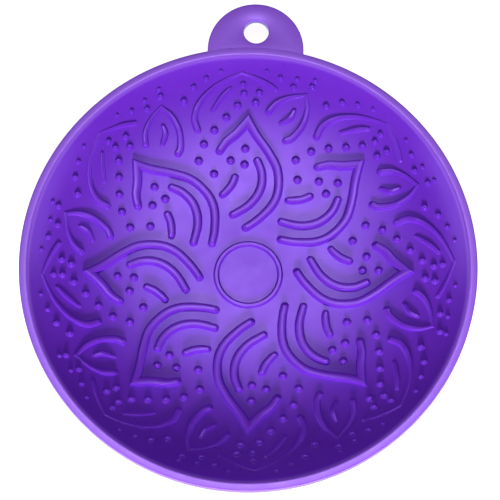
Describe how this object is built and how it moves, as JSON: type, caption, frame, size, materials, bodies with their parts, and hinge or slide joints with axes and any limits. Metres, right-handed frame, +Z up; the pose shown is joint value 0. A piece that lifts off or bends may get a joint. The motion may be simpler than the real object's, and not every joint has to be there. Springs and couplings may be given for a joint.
{
  "type": "lick mat",
  "caption": "Round soft rubber lick mat for dogs: a shallow bowl with a flat rim, a raised petal and stud pattern inside and a hang tab with a hole.",
  "frame": {"origin": "middle of the flat base face that the mat stands on", "axes": "+Z up, out of the open bowl; +Y from the middle of the bowl towards the hang tab"},
  "size_m": [0.203, 0.2238, 0.02],
  "materials": {
    "dish": "satin",
    "rim": "satin",
    "tab": "satin",
    "ring": "satin",
    "petal": "satin",
    "outer_petal": "satin",
    "bud": "satin",
    "stud": "satin"
  },
  "bodies": {
    "root": {"dish_shell": "dish", "rim_band": "rim", "hang_tab": "tab", "centre_ring": "ring", "petal_1": "petal", "petal_2": "petal", "petal_3": "petal", "petal_4": "petal", "petal_5": "petal", "petal_6": "petal", "petal_7": "petal", "petal_8": "petal", "outer_petal_1": "outer_petal", "outer_petal_2": "outer_petal", "outer_petal_3": "outer_petal", "outer_petal_4": "outer_petal", "outer_petal_5": "outer_petal", "outer_petal_6": "outer_petal", "outer_petal_7": "outer_petal", "outer_petal_8": "outer_petal", "bud_1": "bud", "bud_2": "bud", "bud_3": "bud", "bud_4": "bud", "bud_5": "bud", "bud_6": "bud", "bud_7": "bud", "bud_8": "bud", "studs_1": "stud", "studs_2": "stud", "studs_3": "stud", "studs_4": "stud", "studs_5": "stud", "studs_6": "stud", "studs_7": "stud", "studs_8": "stud"}
  },
  "joints": []
}
